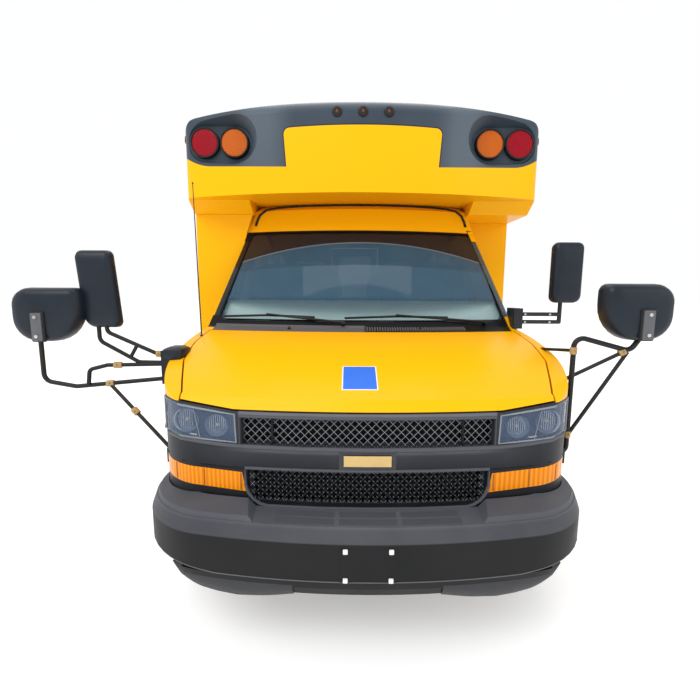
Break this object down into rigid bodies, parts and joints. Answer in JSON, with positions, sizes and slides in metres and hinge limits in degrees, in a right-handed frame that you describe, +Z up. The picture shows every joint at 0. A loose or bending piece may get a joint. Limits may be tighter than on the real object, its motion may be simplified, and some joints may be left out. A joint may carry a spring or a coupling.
{
  "type": "school bus",
  "caption": "Small yellow school bus: hollow cutaway van cab and wide passenger body on a ladder frame, with opening doors, hood, stop arm, steered front wheels and dual rear wheels.",
  "frame": {"origin": "on the ground, on the centre plane, halfway between the front and rear bumpers", "axes": "+X to the bus's left, the driver's side; +Y rearwards; +Z up"},
  "size_m": [3.113, 6.5, 2.76],
  "materials": {
    "yellow_paint": "gloss",
    "clear_glass": "gloss",
    "grey_moulding": "satin",
    "lamp_lens": "gloss",
    "red_lens": "gloss",
    "amber_lens": "gloss",
    "black_metal": "satin",
    "black_plastic": "satin",
    "dash_plastic": "matte",
    "seat_vinyl": "satin",
    "floor_covering": "matte",
    "cast_metal": "matte",
    "bare_steel": "satin",
    "stop_red": "satin",
    "tyre_rubber": "matte",
    "wheel_steel": "satin"
  },
  "bodies": {
    "chassis": {"amber_lamps": "amber_lens", "cab_shell": "yellow_paint", "dashboard": "dash_plastic", "engine": "cast_metal", "exhaust": "bare_steel", "floor": "floor_covering", "frame_rails": "black_metal", "front_axle": "cast_metal", "front_bumper": "grey_moulding", "front_cap": "yellow_paint", "fuel_tank": "bare_steel", "grille_frame": "grey_moulding", "headlamps": "lamp_lens", "mirror_arms": "black_metal", "mirror_heads": "black_plastic", "rear_axle": "cast_metal", "rear_bumper": "black_metal", "rear_wall": "yellow_paint", "red_lamps": "red_lens", "roof": "yellow_paint", "seats": "seat_vinyl", "side_wall_left": "yellow_paint", "side_wall_right": "yellow_paint", "windows": "clear_glass", "wipers": "black_metal"},
    "hood": {"hood": "yellow_paint"},
    "driver_door": {"driver_door": "yellow_paint", "driver_door_glass": "clear_glass", "driver_mirror": "black_plastic"},
    "entry_door_front": {"entry_door_front": "yellow_paint", "entry_door_front_glass": "clear_glass"},
    "entry_door_rear": {"entry_door_rear": "yellow_paint", "entry_door_rear_glass": "clear_glass"},
    "lift_door": {"lift_door": "yellow_paint", "lift_door_glass": "clear_glass"},
    "rear_door": {"rear_door": "yellow_paint", "rear_door_glass": "clear_glass"},
    "stop_arm": {"stop_arm": "stop_red"},
    "steering_wheel": {"steering_wheel": "black_plastic"},
    "knuckle_left": {"knuckle_left": "cast_metal"},
    "knuckle_right": {"knuckle_right": "cast_metal"},
    "wheel_front_left": {"front_tyre_left": "tyre_rubber", "front_rim_left": "wheel_steel"},
    "wheel_front_right": {"front_tyre_right": "tyre_rubber", "front_rim_right": "wheel_steel"},
    "wheels_rear_left": {"rear_tyres_left": "tyre_rubber", "rear_rims_left": "wheel_steel"},
    "wheels_rear_right": {"rear_tyres_right": "tyre_rubber", "rear_rims_right": "wheel_steel"}
  },
  "joints": [
    {"name": "hood_hinge", "type": "hinge", "parent": "chassis", "child": "hood", "pos_m": [0, -2, 1.3], "axis": [-1, 0, 0], "range_deg": [0, 50]},
    {"name": "driver_door_hinge", "type": "hinge", "parent": "chassis", "child": "driver_door", "pos_m": [0.991, -2.198, 1.07], "axis": [0, 0, -1], "range_deg": [0, 70]},
    {"name": "entry_front_hinge", "type": "hinge", "parent": "chassis", "child": "entry_door_front", "pos_m": [-1.21, -1.428, 1.3], "axis": [0, 0, 1], "range_deg": [0, 90]},
    {"name": "entry_rear_hinge", "type": "hinge", "parent": "chassis", "child": "entry_door_rear", "pos_m": [-1.21, -0.762, 1.3], "axis": [0, 0, -1], "range_deg": [0, 90]},
    {"name": "lift_door_hinge", "type": "hinge", "parent": "chassis", "child": "lift_door", "pos_m": [-1.21, 1.762, 1.5], "axis": [0, 0, 1], "range_deg": [0, 100]},
    {"name": "rear_door_hinge", "type": "hinge", "parent": "chassis", "child": "rear_door", "pos_m": [-0.398, 3.161, 1.6], "axis": [0, 0, 1], "range_deg": [0, 110]},
    {"name": "stop_arm_hinge", "type": "hinge", "parent": "chassis", "child": "stop_arm", "pos_m": [1.236, -1, 1.18], "axis": [0, 0, -1], "range_deg": [0, 90]},
    {"name": "steer_left", "type": "hinge", "parent": "chassis", "child": "knuckle_left", "pos_m": [0.73, -2.31, 0.372], "axis": [0, 0, 1], "range_deg": [-35, 35]},
    {"name": "steer_right", "type": "hinge", "parent": "chassis", "child": "knuckle_right", "pos_m": [-0.73, -2.31, 0.372], "axis": [0, 0, 1], "range_deg": [-35, 35]},
    {"name": "steering_wheel_turn", "type": "hinge", "parent": "chassis", "child": "steering_wheel", "pos_m": [0.48, -1.675, 1.48], "axis": [0, 0.848, 0.5299], "range_deg": [-540, 540]},
    {"name": "wheel_spin_front_left", "type": "hinge", "parent": "knuckle_left", "child": "wheel_front_left", "pos_m": [0.873, -2.31, 0.372], "axis": [1, 0, 0], "continuous": true},
    {"name": "wheel_spin_front_right", "type": "hinge", "parent": "knuckle_right", "child": "wheel_front_right", "pos_m": [-0.873, -2.31, 0.372], "axis": [1, 0, 0], "continuous": true},
    {"name": "wheel_spin_rear_left", "type": "hinge", "parent": "chassis", "child": "wheels_rear_left", "pos_m": [0.928, 1.221, 0.372], "axis": [1, 0, 0], "continuous": true},
    {"name": "wheel_spin_rear_right", "type": "hinge", "parent": "chassis", "child": "wheels_rear_right", "pos_m": [-0.928, 1.221, 0.372], "axis": [1, 0, 0], "continuous": true}
  ],
  "couplings": [
    {"joint": "steer_right", "follows": "steer_left", "ratio": 1},
    {"joint": "steering_wheel_turn", "follows": "steer_left", "ratio": 15}
  ]
}
